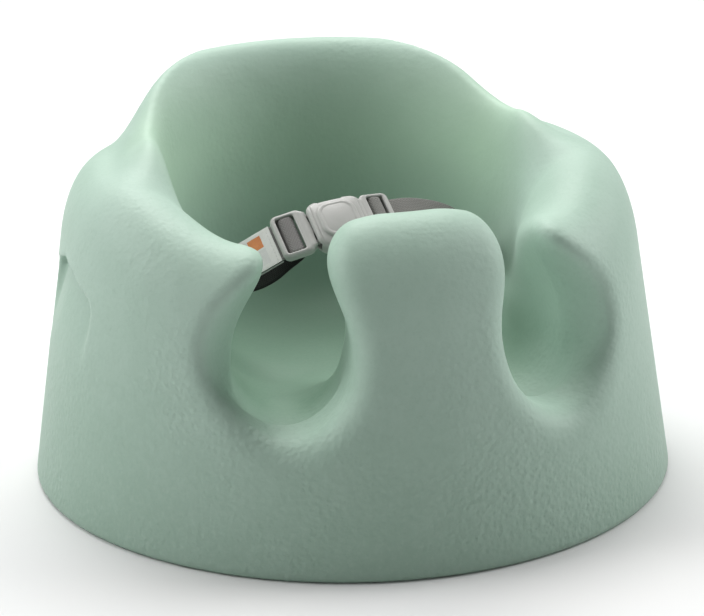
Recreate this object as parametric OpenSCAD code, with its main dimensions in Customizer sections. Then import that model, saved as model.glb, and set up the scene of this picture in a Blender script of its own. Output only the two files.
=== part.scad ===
// Baby floor seat: one moulded foam body with a deep round bucket, two leg
// openings and a central pommel, and a webbing lap belt with a side-release
// buckle. Millimetres, +Z up, the seat faces -Y, origin at the centre of the base.

/* [Foam body] */
// diameter of the base
base_d = 380; // [372:1:388]
// inward slope of the outer wall, mm per mm of height
wall_taper = 0.142; // [0.12:0.002:0.15]
// height setting of the arms before their edges are rounded
arm_z = 192.5; // [186:0.5:198]
// height setting of the backrest before its edge is rounded
back_z = 258; // [250:1:264]
// how far the rim dips over the leg openings
rim_dip = 21.6; // [16:0.2:28]
// half width of the backrest's full height
back_x = 90.5; // [80:0.5:94]
// how much the backrest narrows for each mm towards the back
back_t = 0.2; // [0.1:0.01:0.24]
// rounding of the outer rim
rim_round = 41; // [38:1:48]
// rounding of the bucket's inner edge
lip_round = 60; // [54:1:62]
// grid step of the body's surface, smaller is finer
cell = 11.6; // [10:0.2:13]

/* [Bucket and leg openings] */
// radius of the bucket
bucket_r = 101; // [97:1:103]
// bucket centre behind the seat's centre
bucket_y = 8; // [6:1:10]
// height of the bucket's floor
floor_z = 62; // [58:1:68]
// radius of each leg opening
leg_r = 31; // [29:1:34]
// height of the centre of each leg opening
leg_z = 109.5; // [107:0.5:115]
// turn of the leg openings away from straight forward, degrees
leg_a = 11; // [8:0.5:13]
// offset of each leg opening from the middle
leg_off = 40.5; // [39:0.5:44]
// flare of each leg opening towards the outside
leg_flare = 14; // [4:1:20]
// half width of the gap above each leg opening
neck_w = 12; // [10:0.5:14]

/* [Tray recesses] */
// half angle that each side recess spans round the wall, degrees
recess_a = 17; // [12:1:18]
// depth of each side recess under its lip
recess_d = 7; // [6:0.5:10]
// height of the lip of each side recess
recess_z = 138; // [132:1:141]

/* [Belt] */
// width of the webbing
web_w = 25; // [22:0.5:25.5]
// thickness of the webbing
web_t = 1.4; // [1:0.1:1.5]
// forward tilt of the buckled belt, degrees above the horizontal
belt_tilt = 40.4; // [38:0.2:44]
// distance of the two wall anchors behind the seat's centre
anchor_y = 24; // [22:0.5:26]
// height of the line through the two wall anchors
anchor_z = 109; // [107:1:111]

/* [Hidden] */
$fn = 48;

// ---------- smooth blends ----------
function smx(a, b, k) = let(h = max(k - abs(a - b), 0)/k) max(a, b) + h*h*k/4;
function smn(a, b, k) = -smx(-a, -b, k);
function ss(a, b, x) = let(t = min(max((x - a)/(b - a), 0), 1)) t*t*(3 - 2*t);
// a ramp from 0 that bends smoothly into slope 1
function ramp(t) = t <= 0 ? 0 : t < 49 ? t*t/98 : t - 24.5;

// ---------- the foam body as a smooth field, negative inside ----------
// values that depend only on x and y
function col(x, y) = let(
        ax = abs(x),
        th = atan2(ax, -y),
        q = ax*sin(leg_a) - y*cos(leg_a),
        side = arm_z + 1.95*ss(93, 120, th) - rim_dip*ss(1, 0, abs(th - 43.8)/37.5),
        t = ss(back_x + 36.5, back_x, ax + back_t*(y - 80) + pow(max(y - 80, 0), 2)/120)*ss(-35, 25, y))
    [x, y, norm([x, y]),
     wall_taper + 0.018*ss(140, 40, th),
     0.15*ss(60, 20, th),
     side + (back_z - 5.54*pow(ax/60, 2) - 0.22*pow(ax/80, 6) - side)*t,
     ax*cos(leg_a) + y*sin(leg_a) - leg_off,
     q,
     rim_round - 2.3*ss(77, 112, th),
     leg_flare*ss(112, 140, q),
     10*ss(140, 116, q)];
function fld(c, z) = let(
        fo = (c[2] - (base_d/2 - c[3]*z - c[4]*ramp(z - 60.5)))*0.985,
        f1 = smx(fo, (z - c[5])*0.82, c[8]),
        zz = z - floor_z,
        rc = norm([c[0], c[1] - bucket_y - 0.06*zz]),
        f2 = smx(f1, -smx(rc - bucket_r - 0.03*(zz - 65), -zz, 70), lip_round),
        s0 = c[6] + 0.113*min(max(z - leg_z - 30, -70), 40),
        // each opening flares outwards on its far side and its sill drops inwards
        s = s0 - c[9]*ss(172, 130, z)*ss(66, 122, z)*ss(0, 30, s0),
        hole = norm([s, (z - leg_z + c[10]*ss(leg_z, leg_z - 25, z))/1.2]) - leg_r,
        neck = smx(abs(s) - neck_w, leg_z - z, 10),
        slot = smx(smn(hole, neck, 24), 20 - c[7], 20))
    smx(f2, -slot, 16);
function body_f(p) = fld(col(p[0], p[1]), p[2]);
// one step towards the surface; flat = 1 keeps the height
function step_to(p, m, flat) = let(
        f = body_f(p),
        g = [body_f(p + [0.2, 0, 0]) - f, body_f(p + [0, 0.2, 0]) - f,
             flat == 1 ? 0 : body_f(p + [0, 0, 0.2]) - f]/0.2,
        d = g*(f/max(g*g, 0.05)),
        l = norm(d))
    p - (l > m ? d*(m/l) : d);

// ---------- the foam body as a closed surface of small facets ----------
module foam() {
    h = cell;
    nx = 2*ceil((base_d/2 + 4)/h - 0.5) + 2;
    nz = ceil((back_z - 18)/h) + 1;
    n1 = nx - 1;
    m1 = nz - 1;
    X = [for (i = [0:n1]) (i - n1/2)*h];
    Z = [for (k = [0:m1]) (k - 0.5)*h];
    // field values at the grid corners, one half worked out and mirrored
    G = [for (i = [nx/2:n1]) [for (y = X) let(c = col(X[i], y)) [for (z = Z) max(fld(c, z), -z)]]];
    // an outside corner that lies diagonally between two inside ones is taken in,
    // so that no edge of the surface is shared by four facets
    function g(i, j, k) = G[max(i, 0)][j][k];
    function pinched(i, j, k, v) = len([for (a = [-1, 1]) for (b = [-1, 1]) if (
            (g(i+a,j,k) < 0 && g(i,j+b,k) < 0 && g(i+a,j+b,k) >= v) ||
            (g(i+a,j,k) < 0 && g(i,j,k+b) < 0 && g(i+a,j,k+b) >= v) ||
            (g(i,j+a,k) < 0 && g(i,j,k+b) < 0 && g(i,j+a,k+b) >= v)) 1]) > 0;
    H = [for (i = [0:nx/2-1]) [for (j = [0:n1]) [for (k = [0:m1]) let(v = G[i][j][k])
            (v >= 0 && v < h && k > 0 && k < m1 && j > 0 && j < n1 && i < nx/2 - 1 && pinched(i, j, k, v)) ? -0.001 : v]]];
    F = [for (i = [0:n1]) i < nx/2 ? H[nx/2 - 1 - i] : H[i - nx/2]];
    // corners inside, counted over each square of four
    Q = [for (i = [0:n1-1]) [for (j = [0:n1-1]) let(a = F[i][j], b = F[i+1][j], c = F[i][j+1], d = F[i+1][j+1])
            [for (k = [0:m1]) (a[k] < 0 ? 1 : 0) + (b[k] < 0 ? 1 : 0) + (c[k] < 0 ? 1 : 0) + (d[k] < 0 ? 1 : 0)]]];
    flag = [for (i = [0:n1-1]) for (j = [0:n1-1]) for (k = [0:m1-1])
            let(s = Q[i][j][k] + Q[i][j][k+1]) (s > 0 && s < 8) ? 1 : 0];
    idx = [for (n = 0, s = 0; n < len(flag); s = s + flag[n], n = n + 1) s];
    E = [[[0,0,0],[1,0,0]], [[0,1,0],[1,1,0]], [[0,0,1],[1,0,1]], [[0,1,1],[1,1,1]],
         [[0,0,0],[0,1,0]], [[1,0,0],[1,1,0]], [[0,0,1],[0,1,1]], [[1,0,1],[1,1,1]],
         [[0,0,0],[0,0,1]], [[1,0,0],[1,0,1]], [[0,1,0],[0,1,1]], [[1,1,0],[1,1,1]]];
    V0 = [for (i = [0:n1-1]) for (j = [0:n1-1]) for (k = [0:m1-1])
            let(s = Q[i][j][k] + Q[i][j][k+1])
            if (s > 0 && s < 8) let(
                pts = [for (e = E) let(u = e[0], v = e[1],
                        a = F[i+u[0]][j+u[1]][k+u[2]], b = F[i+v[0]][j+v[1]][k+v[2]])
                    if ((a < 0) != (b < 0)) [X[i], X[j], Z[k]] + h*(u + (v - u)*(a/(a - b)))],
                p = ([for (q = pts) 1]*pts)/len(pts))
            k > 0 ? step_to(step_to(p, h*0.6, 0), h*0.4, 0)
                  : Q[i][j][1] == 4 ? [p[0], p[1], 0]
                  : let(b = [p[0], p[1], 0]) step_to(step_to(step_to(b, h, 1), h*0.4, 1), h*0.2, 1)];
    V = concat(V0, [[0, 0, 0]]);
    ctr = len(V0);
    // the two triangles of a four-cornered patch, split along its shorter diagonal
    function two(q) = norm(V[q[0]] - V[q[2]]) <= norm(V[q[1]] - V[q[3]])
        ? [[q[2], q[1], q[0]], [q[3], q[2], q[0]]] : [[q[3], q[1], q[0]], [q[3], q[2], q[1]]];
    function id(i, j, k) = idx[(i*n1 + j)*m1 + k];
    function turned(q, on) = on ? q : [q[3], q[2], q[1], q[0]];
    FX = [for (i = [0:n1-1]) for (j = [1:n1-1]) for (k = [1:m1-1])
            let(a = F[i][j][k] < 0, b = F[i+1][j][k] < 0) if (a != b)
            let(q = [id(i,j-1,k-1), id(i,j,k-1), id(i,j,k), id(i,j-1,k)])
            each concat(two(turned(q, a)), k > 1 ? [] : [a ? [q[0], q[1], ctr] : [q[1], q[0], ctr]])];
    FY = [for (i = [1:n1-1]) for (j = [0:n1-1]) for (k = [1:m1-1])
            let(a = F[i][j][k] < 0, b = F[i][j+1][k] < 0) if (a != b)
            let(q = [id(i-1,j,k-1), id(i-1,j,k), id(i,j,k), id(i,j,k-1)])
            each concat(two(turned(q, a)), k > 1 ? [] : [a ? [q[3], q[0], ctr] : [q[0], q[3], ctr]])];
    FZ = [for (i = [1:n1-1]) for (j = [1:n1-1]) for (k = [1:m1-1])
            let(a = F[i][j][k] < 0, b = F[i][j][k+1] < 0) if (a != b)
            let(q = [id(i-1,j-1,k), id(i,j-1,k), id(i,j,k), id(i-1,j,k)])
            each two(turned(q, a))];
    polyhedron(points = V, faces = concat(FX, FY, FZ));
}

// ---------- wall anchors, drawn for the +X side ----------
// u runs from the free end of the sewn loop outwards into the foam
module at_anchor() translate([87.8, anchor_y, anchor_z]) rotate([0, 16, 0]) children();
bar_u = 27;
bar_r = 3.5;

module plate_cut() {
    at_anchor() {
        translate([4.6, 0, 0]) rotate([0, 90, 0]) linear_extrude(4.4) rr(13.8, 34.8, 6.9);
        translate([-2, -13.3, -2.1]) cube([bar_u + 2, 26.6, 4.2]);
        translate([bar_u, 0, 0]) rotate([90, 0, 0]) cylinder(r = 5.8, h = 26.6, center = true, $fn = 24);
        translate([bar_u, 0, 0]) rotate([90, 0, 0]) cylinder(r = bar_r + 0.3, h = 36, center = true, $fn = 24);
    }
}
module recess_cut() {
    rt = base_d/2 - (wall_taper + 0.012)*recess_z;
    rotate([0, 0, -recess_a]) rotate_extrude(angle = 2*recess_a, $fn = 96)
        polygon([[rt - recess_d, recess_z], [rt + 30, recess_z], [rt + 30, recess_z - 40], [rt + 6, recess_z - 38]]);
}
// a rounded rectangle about the origin
module rr(l, w, r) {
    square([l - 2*r + 0.002, w], center = true);
    square([l, w - 2*r + 0.002], center = true);
    for (a = [-1, 1]) for (b = [-1, 1]) translate([a*(l/2 - r), b*(w/2 - r)]) circle(r);
}

module seat_body() {
    color([0.62, 0.72, 0.67])
    resize([0, 0, 0]) difference() {
        foam();
        for (s = [0, 1]) mirror([s, 0, 0]) {
            plate_cut();
            recess_cut();
        }
    }
}

module anchor_plate() {
    at_anchor() translate([6, 0, 0]) rotate([0, 90, 0]) linear_extrude(2.6)
        difference() {
            rr(13, 34, 6.5);
            square([3.8, web_w + 0.9], center = true);
        }
}
module anchor_plate_right() { color([0.25, 0.26, 0.27]) anchor_plate(); }
module anchor_plate_left() { color([0.25, 0.26, 0.27]) mirror([1, 0, 0]) anchor_plate(); }

module anchor_bar() {
    at_anchor() translate([bar_u, 0, 0]) rotate([90, 0, 0]) cylinder(r = bar_r, h = 34, center = true);
}
module anchor_bar_right() { color([0.75, 0.76, 0.78]) anchor_bar(); }
module anchor_bar_left() { color([0.75, 0.76, 0.78]) mirror([1, 0, 0]) anchor_bar(); }

// two sewn layers of webbing that close in a loop round the bar
module web_stub() {
    at_anchor() rotate([90, 0, 0]) linear_extrude(web_w, center = true)
        difference() {
            union() {
                translate([0.5, -web_t]) square([bar_u - bar_r - 0.5, 2*web_t]);
                translate([bar_u, 0]) circle(bar_r + 0.1 + web_t);
            }
            translate([bar_u, 0]) circle(bar_r + 0.1);
        }
}
module web_stub_right() { color([0.2, 0.2, 0.2]) web_stub(); }
module web_stub_left() { color([0.2, 0.2, 0.2]) mirror([1, 0, 0]) web_stub(); }

// ---------- belt ----------
// belt frame: x across the seat, y across the webbing, z away from the anchor line
module at_belt() translate([0, anchor_y, anchor_z]) rotate([90 - belt_tilt, 0, 0]) children();
// buckle frame inside the belt frame: the webbing twists and turns a little
// between the wall and the buckle
bk_x = -15.6;
bk_y = -1.2;
bk_z = 73.4;
bk_a = 4;
bk_t = 15.6;
bk_c = 6.5;
bk_p = -5;
module at_buckle() at_belt() translate([bk_p, bk_y, bk_z]) rotate([-bk_t, 0, 0]) rotate([0, 0, bk_c])
    translate([bk_x - bk_p, 0, 0]) rotate([0, -bk_a, 0]) children();
// frame of the plug's ladder, bent down from the buckle
lad_x = -18.6;
lad_a = 9;
// the housing's ladder droops a little from its root
hl_x = 16;
hl_a = 10;
function in_buckle(p) = [bk_x + p[0]*cos(bk_a) - p[1]*sin(bk_a), bk_z + p[0]*sin(bk_a) + p[1]*cos(bk_a), 1];
function in_ladder(p) = in_buckle([lad_x + p[0]*cos(lad_a) - p[1]*sin(lad_a), p[0]*sin(lad_a) + p[1]*cos(lad_a)]);
function in_hl(p) = in_buckle([hl_x + (p[0] - hl_x)*cos(hl_a) + p[1]*sin(hl_a), (hl_x - p[0])*sin(hl_a) + p[1]*cos(hl_a)]);

// a curve through given points
function cr(P, m) = let(n = len(P)) concat(
    [for (i = [0:n-2]) let(a = P[max(i-1, 0)], b = P[i], c = P[i+1], d = P[min(i+2, n-1)])
        for (j = [0:m-1]) let(t = j/m, t2 = t*t, t3 = t2*t)
            0.5*(2*b + (c - a)*t + (2*a - 5*b + 4*c - d)*t2 + (3*b - a - 3*c + d)*t3)],
    [P[n-1]]);
// place of a point of the belt; a is 0 at the wall and 1 in the buckle's own frame
function placed(x, y, z, a) = let(
        c = a*bk_c, t = a*bk_t, v = z - bk_z,
        u = (x - bk_p)*sin(c) + y*cos(c))
    [bk_p + (x - bk_p)*cos(c) - y*sin(c), u*cos(t) + v*sin(t) + a*bk_y, bk_z + v*cos(t) - u*sin(t)];
// a band of webbing along a path of [x, z, a]
module webbing(P) {
    n = len(P);
    N = [for (i = [0:n-1]) let(d = P[min(i+1, n-1)] - P[max(i-1, 0)]) [-d[1], d[0]]/norm([d[0], d[1]])*web_t/2];
    V = [for (i = [0:n-1]) for (k = [[1, 1], [1, -1], [-1, -1], [-1, 1]])
        placed(P[i][0] + k[0]*N[i][0], k[1]*web_w/2, P[i][1] + k[0]*N[i][1], P[i][2])];
    S = [for (i = [0:n-2]) for (j = [0:3]) let(a = 4*i + j, b = 4*i + (j + 1)%4)
        each [[a, b, b + 4], [a, b + 4, a + 4]]];
    at_belt() polyhedron(points = V, faces = concat(S,
        [[2, 1, 0], [3, 2, 0], [4*n - 4, 4*n - 3, 4*n - 2], [4*n - 4, 4*n - 2, 4*n - 1]]));
}

// middle bars of the two ladders, their half spread and the webbing's radius round them
lbar = [-10.5, -0.6];
lbar_s = 1.8;
hbar = [25.4, -0.4];
hbar_s = 1.2;
wrap_r = 1.5 + 0.15 + web_t/2;
tail_a = in_ladder([-20, -2.3]);
tail_v = 33;
tail_dir = [-cos(tail_v), -sin(tail_v), 0];

left_path = concat(
    cr([[-86.9, 0.5, 0], [-81.5, 4.4, 0.04], [-74, 13, 0.16], [-66, 24.8, 0.38], [-59, 36.4, 0.66], [-53, 46.6, 0.88], [-48, 54.8, 0.98],
        in_ladder([-8.6, -7.6]), in_ladder([-7.2, -4.6])], 3),
    [for (a = [-45:15:90]) in_ladder(lbar + [lbar_s, 0] + wrap_r*[cos(a), sin(a)])],
    [for (a = [90:15:180]) in_ladder(lbar - [lbar_s, 0] + wrap_r*[cos(a), sin(a)])],
    [in_ladder([-15.0, -1.7]), in_ladder([-16.1, -2.15]), in_ladder([-18, -2.25]), tail_a],
    [for (s = [2, 4, 23.5]) tail_a + s*tail_dir]);
right_path = concat(
    cr([[86.9, 0.6, 0], [84.6, 7.5, 0], [80, 19, 0.02], [72.5, 34, 0.06], [63, 47.5, 0.13], [53, 56.8, 0.25], [44, 62.6, 0.4], [36, 66.6, 0.6], [28, 69.3, 0.85],
        in_hl([35.4, -2.2]), in_hl([33.4, -2.1]), in_hl([31.4, -2.0])], 2),
    [in_hl([29.8, -1.7])],
    [for (a = [-15:15:90]) in_hl(hbar + [hbar_s, 0] + wrap_r*[cos(a), sin(a)])],
    [for (a = [90:15:240]) in_hl(hbar - [hbar_s, 0] + wrap_r*[cos(a), sin(a)])],
    [in_hl([24.6, -3.6]), in_hl([28, -4.0]), in_hl([33.4, -4.1]), in_hl([37, -4.5]), in_hl([41, -5.4])]);

module strap_left() { color([0.2, 0.2, 0.2]) webbing(left_path); }
module strap_right() { color([0.45, 0.43, 0.41]) webbing(right_path); }

// a sewn cloth label folded over the end of the left strap's tail
module tail_label() {
    color([0.93, 0.93, 0.92])
    at_buckle() rotate([0, bk_a, 0]) translate([tail_a[0] - bk_x, 0, tail_a[1] - bk_z]) rotate([0, -tail_v, 0])
        translate([-24.4, 0, 0]) rotate([90, 0, 0]) linear_extrude(web_w + 0.8, center = true)
        difference() {
            translate([0, -web_t/2 - 0.65]) square([24, web_t + 1.3]);
            translate([0.65, -web_t/2 - 0.1]) square([26, web_t + 0.2]);
        }
}

// middle bar of a ladder, rounded on its two long edges
module flat_bar(p, s) translate([p[0], 0, p[1]]) rotate([90, 0, 0]) {
    for (k = [-s, s]) translate([k, 0, 0]) cylinder(r = 1.5, h = 27, center = true);
    cube([2*s, 3, 27], center = true);
}
// side-release plug: ladder frame, root flange and centre tongue
module plug() {
    color([0.74, 0.73, 0.72])
    at_buckle() {
        translate([lad_x, 0, 0]) rotate([0, -lad_a, 0]) {
            difference() {
                translate([-9.7, 0, -3]) linear_extrude(6) rr(19.4, 31, 4);
                translate([-10.9, 0, -4]) linear_extrude(8) rr(11.4, 26, 1.5);
                translate([-20.5, -13, -4]) cube([5.5, 26, 3]);
            }
            flat_bar(lbar, lbar_s);
        }
        translate([-20.6, -12.6, -2.6]) cube([3.3, 25.2, 5.2]);
        translate([-18, -4, -1.8]) cube([22, 8, 3.6]);
    }
}
// a springy prong with its thumb pad and latch shoulder
module prong() translate([0, 0, -1.8]) linear_extrude(3.6)
    polygon([[-17, 8.2], [4.4, 8.2], [4.4, 12.2], [0.5, 16.2], [-8.5, 16.2], [-8.5, 10.6], [-17, 10.6]]);
module prong_upper() { color([0.74, 0.73, 0.72]) at_buckle() prong(); }
module prong_lower() { color([0.74, 0.73, 0.72]) at_buckle() mirror([0, 1, 0]) prong(); }

// crowned housing with the prong channel, side windows and its own ladder
module crown(dz) intersection() {
    translate([-3, 0, 6.4 + dz - 70]) rotate([90, 0, 0]) cylinder(r = 70, h = 60, center = true, $fn = 96);
    translate([0, 0, 6.4 + dz - 45]) rotate([0, 90, 0]) cylinder(r = 45, h = 60, center = true, $fn = 96);
}
module droop() translate([hl_x, 0, 0]) rotate([0, hl_a, 0]) translate([-hl_x, 0, 0]) children();
module buckle_housing() {
    color([0.74, 0.73, 0.72])
    at_buckle() difference() {
        union() {
            intersection() {
                translate([0, 0, -5.4]) linear_extrude(14) rr(34, 35, 7);
                crown(0);
            }
            intersection() {
                translate([-0.5, 0, 0]) linear_extrude(14) rr(23, 25, 8.5);
                crown(0.9);
            }
            droop() {
                translate([16, 0, -2.6]) linear_extrude(5.2) difference() {
                    translate([8.75, 0]) rr(18, 30.4, 3.5);
                    translate([9.4, 0]) rr(10.4, 26, 1.2);
                }
                flat_bar(hbar, hbar_s);
            }
        }
        translate([-18, -13.5, -2.2]) cube([29, 27, 4.4]);
        for (s = [-1, 1]) translate([-9, s*15.4 - 3, -3.4]) cube([15.2, 6, 6.8]);
        droop() translate([29.8, -13, -3.8]) cube([5, 26, 2.9]);
    }
}

seat_body();
anchor_plate_left();
anchor_plate_right();
anchor_bar_left();
anchor_bar_right();
web_stub_left();
web_stub_right();
strap_left();
tail_label();
plug();
prong_upper();
prong_lower();
buckle_housing();
strap_right();
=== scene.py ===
import bpy
import math
import numpy as np
from mathutils import Matrix, Vector


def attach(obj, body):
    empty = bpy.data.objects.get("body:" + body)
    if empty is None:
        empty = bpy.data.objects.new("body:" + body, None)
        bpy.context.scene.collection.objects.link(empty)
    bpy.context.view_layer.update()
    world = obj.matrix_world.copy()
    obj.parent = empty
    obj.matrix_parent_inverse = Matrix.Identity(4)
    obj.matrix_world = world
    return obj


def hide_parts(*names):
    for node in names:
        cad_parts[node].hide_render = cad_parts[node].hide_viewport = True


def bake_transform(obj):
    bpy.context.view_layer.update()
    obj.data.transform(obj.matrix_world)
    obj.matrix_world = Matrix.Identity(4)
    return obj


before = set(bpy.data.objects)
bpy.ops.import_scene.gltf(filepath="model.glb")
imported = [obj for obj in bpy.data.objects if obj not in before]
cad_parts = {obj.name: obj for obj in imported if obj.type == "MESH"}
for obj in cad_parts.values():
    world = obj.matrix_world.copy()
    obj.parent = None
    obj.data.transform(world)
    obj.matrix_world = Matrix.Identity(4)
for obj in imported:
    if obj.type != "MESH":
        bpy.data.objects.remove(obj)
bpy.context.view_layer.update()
MM = 0.001

# ------------------------------------------------------------------ numbers (mm)
BASE_D, TAPER, ARM_Z, BACK_Z, DIP = 380.0, 0.142, 192.5, 258.0, 21.6
BACK_X, BACK_T, RIM_R, LIP_R = 90.5, 0.2, 41.0, 60.0
BUCKET_R, BUCKET_Y, FLOOR_Z = 101.0, 8.0, 62.0
LEG_R, LEG_Z, LEG_A, LEG_OFF, LEG_FLARE, NECK_W = 31.0, 109.5, 11.0, 40.5, 14.0, 12.0
REC_L, REC_D, REC_Z = 49.0, 7.0, 140.5
WEB_W, WEB_T, TILT, ANCHOR_Y, ANCHOR_Z = 25.0, 1.4, 40.4, 24.0, 109.0
BK_X, BK_Y, BK_Z, BK_A, BK_T, BK_C, BK_P = -15.6, -1.2, 73.4, 4.0, 15.6, 6.5, -5.0
LAD_X, LAD_A, HL_X, HL_A, TAIL_V = -18.6, 9.0, 16.0, 10.0, 33.0
BAR_U, BAR_R = 27.0, 3.5


# ------------------------------------------------------------------ small maths
def rot(axis, deg):
    return np.array(Matrix.Rotation(math.radians(deg), 4, axis), float)


def tra(x, y, z):
    return np.array(Matrix.Translation((x, y, z)), float)


def put(M, P):
    P = np.asarray(P, float)
    return P @ M[:3, :3].T + M[:3, 3]


def smx(a, b, k):
    h = np.maximum(k - np.abs(a - b), 0) / k
    return np.maximum(a, b) + h * h * k * 0.25


def smn(a, b, k):
    return -smx(-a, -b, k)


def ss(a, b, x):
    t = np.clip((x - a) / (b - a), 0, 1)
    return t * t * (3 - 2 * t)


def rr2(x, y, hx, hy, r):
    """Signed distance to a rounded rectangle of half sizes hx, hy."""
    qx, qy = np.abs(x) - hx + r, np.abs(y) - hy + r
    return np.minimum(np.maximum(qx, qy), 0) + np.hypot(np.maximum(qx, 0), np.maximum(qy, 0)) - r


BELT = tra(0, ANCHOR_Y, ANCHOR_Z) @ rot("X", 90 - TILT)
BUCKLE = BELT @ tra(BK_P, BK_Y, BK_Z) @ rot("X", -BK_T) @ rot("Z", BK_C) @ tra(BK_X - BK_P, 0, 0) @ rot("Y", -BK_A)
ANCHOR_R = tra(87.8, ANCHOR_Y, ANCHOR_Z) @ rot("Y", 16)
MIRROR = np.diag([-1.0, 1, 1, 1])


# ------------------------------------------------------------------ surfaces from smooth fields
def surface(field, lo, hi, h, steps=4):
    """Closed quad mesh of the zero level of a field that is negative inside."""
    ax = [lo[i] + h * np.arange(int(math.ceil((hi[i] - lo[i]) / h)) + 1) for i in range(3)]
    n = [len(a) for a in ax]
    F = np.empty(n)
    Y, Z = np.meshgrid(ax[1], ax[2], indexing="ij")
    for i, x in enumerate(ax[0]):
        F[i] = field(np.full_like(Y, x), Y, Z)
    ins = F < 0
    # an outside corner diagonally between two inside ones is taken in, so no edge has four faces
    I = np.argwhere((F >= 0) & (F < 1.2 * h))
    I = I[((I > 0) & (I < np.array(n) - 1)).all(1)]
    v = F[tuple(I.T)]
    amb = np.zeros(len(I), bool)
    for a, b in ((0, 1), (0, 2), (1, 2)):
        for sa in (-1, 1):
            for sb in (-1, 1):
                A = I.copy(); A[:, a] += sa
                B = I.copy(); B[:, b] += sb
                D = A.copy(); D[:, b] += sb
                amb |= (F[tuple(A.T)] < 0) & (F[tuple(B.T)] < 0) & (F[tuple(D.T)] >= v)
    J = I[amb]
    F[tuple(J.T)] = -1e-3
    ins = F < 0
    c = np.zeros([k - 1 for k in n], np.int8)
    cor = [(a, b, d) for a in (0, 1) for b in (0, 1) for d in (0, 1)]
    for a, b, d in cor:
        c += ins[a:n[0] - 1 + a, b:n[1] - 1 + b, d:n[2] - 1 + d]
    act = (c > 0) & (c < 8)
    I = np.argwhere(act)
    idx = -np.ones(act.shape, np.int64)
    idx[act] = np.arange(len(I))
    acc, cnt = np.zeros((len(I), 3)), np.zeros(len(I))
    org = np.array([a[0] for a in ax])
    for ca in cor:
        for k in range(3):
            if ca[k]:
                continue
            cb = list(ca); cb[k] = 1
            A, B = I + np.array(ca), I + np.array(cb)
            fa, fb = F[tuple(A.T)], F[tuple(B.T)]
            m = (fa < 0) != (fb < 0)
            t = np.where(m, fa / np.where(m, fa - fb, 1), 0)
            acc += np.where(m[:, None], A + (B - A) * t[:, None], 0)
            cnt += m
    V = org + h * acc / cnt[:, None]

    def f(P):
        return field(P[:, 0], P[:, 1], P[:, 2])

    e = 0.02 * h + 0.02
    for _ in range(steps):
        g = np.stack([f(V + np.eye(3)[k] * e) - f(V - np.eye(3)[k] * e) for k in range(3)], 1) / (2 * e)
        g2 = (g * g).sum(1)
        s = f(V) / np.maximum(g2, 0.04)
        s = np.clip(s * np.sqrt(g2), -0.45 * h, 0.45 * h) / np.sqrt(np.maximum(g2, 1e-9))
        V = V - s[:, None] * g
    quads = []
    for k in range(3):
        s0, s1 = [slice(None)] * 3, [slice(None)] * 3
        s0[k], s1[k] = slice(0, -1), slice(1, None)
        a, b = ins[tuple(s0)], ins[tuple(s1)]
        E = np.argwhere(a != b)
        o = [q for q in range(3) if q != k]
        E = E[(E[:, o[0]] > 0) & (E[:, o[1]] > 0)]
        pos = a[tuple(E.T)]
        u, w = (k + 1) % 3, (k + 2) % 3

        def cell(du, dw):
            C = E.copy(); C[:, u] += du; C[:, w] += dw
            return idx[tuple(C.T)]
        q = np.stack([cell(-1, -1), cell(0, -1), cell(0, 0), cell(-1, 0)], 1)
        quads.append(np.where(pos[:, None], q, q[:, ::-1]))
    return V, np.concatenate(quads)


def mesh_object(name, V, faces, mat, attrs=None, smooth=True, sharp=None):
    """V in metres, in the row frame."""
    me = bpy.data.meshes.new(name)
    me.from_pydata([tuple(p) for p in np.asarray(V, float)], [], [tuple(int(i) for i in q) for q in faces])
    me.update()
    if smooth:
        me.polygons.foreach_set("use_smooth", [True] * len(me.polygons))
    if sharp is not None:
        me.set_sharp_from_angle(angle=math.radians(sharp))
    for key, val in (attrs or {}).items():
        at = me.attributes.new(key, "FLOAT_VECTOR", "POINT")
        at.data.foreach_set("vector", np.asarray(val, np.float32).ravel())
    ob = bpy.data.objects.new(name, me)
    bpy.context.scene.collection.objects.link(ob)
    me.materials.append(mat)
    return ob


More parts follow.
